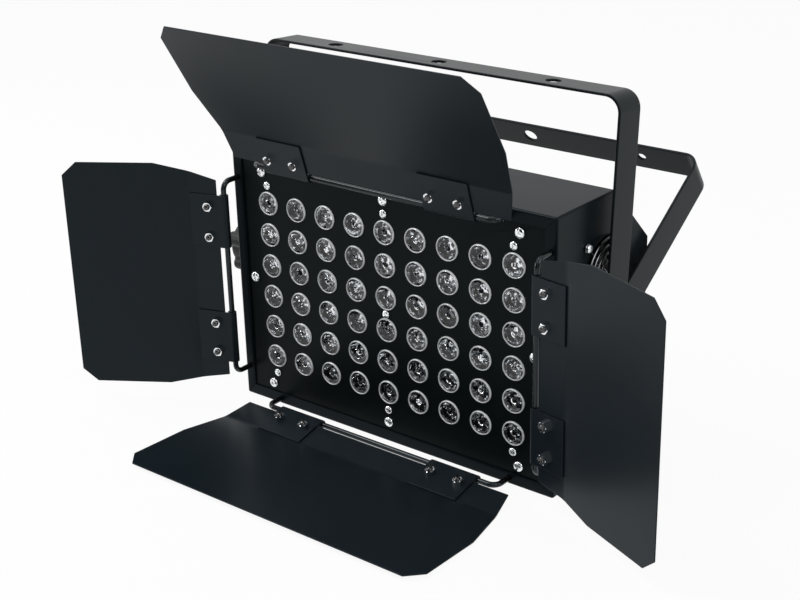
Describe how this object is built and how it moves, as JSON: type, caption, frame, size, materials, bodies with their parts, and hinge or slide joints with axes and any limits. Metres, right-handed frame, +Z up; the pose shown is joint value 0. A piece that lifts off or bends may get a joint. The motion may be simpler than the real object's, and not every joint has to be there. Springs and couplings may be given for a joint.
{
  "type": "led wash light",
  "caption": "LED wash light with a rectangular casing, a lens panel, folding barn doors on wire rods and two flat bar yokes.",
  "frame": {"origin": "middle of the casing's flat underside, between its front face and the shoulder line", "axes": "+Z up, -Y out of the lens panel, +X to the object's side that the two data sockets are on"},
  "size_m": [0.6114, 0.4026, 0.3743],
  "materials": {
    "casing_paint": "fine textured satin powder coat",
    "panel_paint": "satin powder coat",
    "door_paint": "satin powder coat",
    "yoke_paint": "satin powder coat",
    "rod_paint": "semi-gloss paint",
    "clear_lens": "clear moulded optic",
    "emitter_resin": "clear resin over phosphor",
    "white_board": "white solder mask",
    "bare_aluminium": "extruded",
    "zinc_steel": "bright zinc plate",
    "black_screw": "black zinc plate",
    "chrome_wire": "bright plated wire",
    "black_plastic": "fine matt grain",
    "green_board": "solder mask",
    "smoked_window": "dark tinted pane",
    "button_rubber": "matt",
    "blue_socket": "moulded",
    "grey_socket": "moulded",
    "black_socket": "moulded"
  },
  "bodies": {
    "head": {"front_housing": "casing_paint", "rear_cover": "casing_paint", "front_panel": "panel_paint", "lenses": "clear_lens", "lens_holders": "black_plastic", "led_emitters": "emitter_resin", "led_board": "white_board", "heat_sink": "bare_aluminium", "panel_screws": "zinc_steel", "board_screws": "zinc_steel", "panel_posts": "zinc_steel", "housing_screws": "black_screw", "fan_screws": "zinc_steel", "power_supply": "bare_aluminium", "control_board": "green_board", "display_window": "smoked_window", "power_inlet": "blue_socket", "power_outlet": "grey_socket", "data_inlet": "black_socket", "data_outlet": "black_socket", "fuse_holder": "black_plastic", "safety_eye": "zinc_steel", "pivot_studs": "zinc_steel", "pivot_spacers": "zinc_steel", "pivot_washers": "black_plastic", "fan_frame_left": "black_plastic", "fan_guard_left": "chrome_wire", "fan_frame_right": "black_plastic", "fan_guard_right": "chrome_wire", "door_rod_left": "rod_paint", "door_rod_right": "rod_paint", "door_rod_top": "rod_paint", "door_rod_bottom": "rod_paint"},
    "door_left": {"door_leaf_left": "door_paint", "hinge_plates_left": "door_paint", "door_bolts_left": "black_screw", "door_nuts_left": "zinc_steel"},
    "door_right": {"door_leaf_right": "door_paint", "hinge_plates_right": "door_paint", "door_bolts_right": "black_screw", "door_nuts_right": "zinc_steel"},
    "door_top": {"door_leaf_top": "door_paint", "hinge_plates_top": "door_paint", "door_bolts_top": "black_screw", "door_nuts_top": "zinc_steel"},
    "door_bottom": {"door_leaf_bottom": "door_paint", "hinge_plates_bottom": "door_paint", "door_bolts_bottom": "black_screw", "door_nuts_bottom": "zinc_steel"},
    "upright_yoke": {"upright_yoke": "yoke_paint"},
    "rear_yoke": {"rear_yoke": "yoke_paint"},
    "knob_left": {"knob_left": "black_plastic"},
    "knob_right": {"knob_right": "black_plastic"},
    "fan_rotor_left": {"fan_rotor_left": "black_plastic"},
    "fan_rotor_right": {"fan_rotor_right": "black_plastic"},
    "menu_button_1": {"menu_button_1": "button_rubber"},
    "menu_button_2": {"menu_button_2": "button_rubber"},
    "menu_button_3": {"menu_button_3": "button_rubber"},
    "menu_button_4": {"menu_button_4": "button_rubber"}
  },
  "joints": [
    {"name": "upright_yoke_tilt", "type": "hinge", "parent": "head", "child": "upright_yoke", "pos_m": [0, 0.025, 0.1235], "axis": [1, 0, 0], "range_deg": [-160, 30]},
    {"name": "rear_yoke_tilt", "type": "hinge", "parent": "head", "child": "rear_yoke", "pos_m": [0, 0.025, 0.1235], "axis": [1, 0, 0], "range_deg": [-115, 51]},
    {"name": "door_left_swing", "type": "hinge", "parent": "head", "child": "door_left", "pos_m": [-0.169, -0.061, 0.1235], "axis": [0, 0, 1], "range_deg": [-33, 60]},
    {"name": "door_right_swing", "type": "hinge", "parent": "head", "child": "door_right", "pos_m": [0.169, -0.061, 0.1235], "axis": [0, 0, -1], "range_deg": [-23.6, 69.4]},
    {"name": "door_top_swing", "type": "hinge", "parent": "head", "child": "door_top", "pos_m": [0, -0.061, 0.241], "axis": [1, 0, 0], "range_deg": [-31.6, 61.4]},
    {"name": "door_bottom_swing", "type": "hinge", "parent": "head", "child": "door_bottom", "pos_m": [0, -0.061, 0.006], "axis": [-1, 0, 0], "range_deg": [-92.7, 0.3]},
    {"name": "knob_left_turn", "type": "hinge", "parent": "head", "child": "knob_left", "pos_m": [0, 0.025, 0.1235], "axis": [-1, 0, 0], "range_deg": [0, 360]},
    {"name": "fan_left_spin", "type": "hinge", "parent": "head", "child": "fan_rotor_left", "pos_m": [-0.16, 0.03175, 0.17875], "axis": [-1, 0, 0], "continuous": true},
    {"name": "knob_right_turn", "type": "hinge", "parent": "head", "child": "knob_right", "pos_m": [0, 0.025, 0.1235], "axis": [1, 0, 0], "range_deg": [0, 360]},
    {"name": "fan_right_spin", "type": "hinge", "parent": "head", "child": "fan_rotor_right", "pos_m": [0.16, 0.03175, 0.17875], "axis": [1, 0, 0], "continuous": true},
    {"name": "menu_button_1_press", "type": "slide", "parent": "head", "child": "menu_button_1", "axis": [0, -1, 0], "range_m": [0, 0.001], "stiffness_N_per_m": 500},
    {"name": "menu_button_2_press", "type": "slide", "parent": "head", "child": "menu_button_2", "axis": [0, -1, 0], "range_m": [0, 0.001], "stiffness_N_per_m": 500},
    {"name": "menu_button_3_press", "type": "slide", "parent": "head", "child": "menu_button_3", "axis": [0, -1, 0], "range_m": [0, 0.001], "stiffness_N_per_m": 500},
    {"name": "menu_button_4_press", "type": "slide", "parent": "head", "child": "menu_button_4", "axis": [0, -1, 0], "range_m": [0, 0.001], "stiffness_N_per_m": 500}
  ]
}
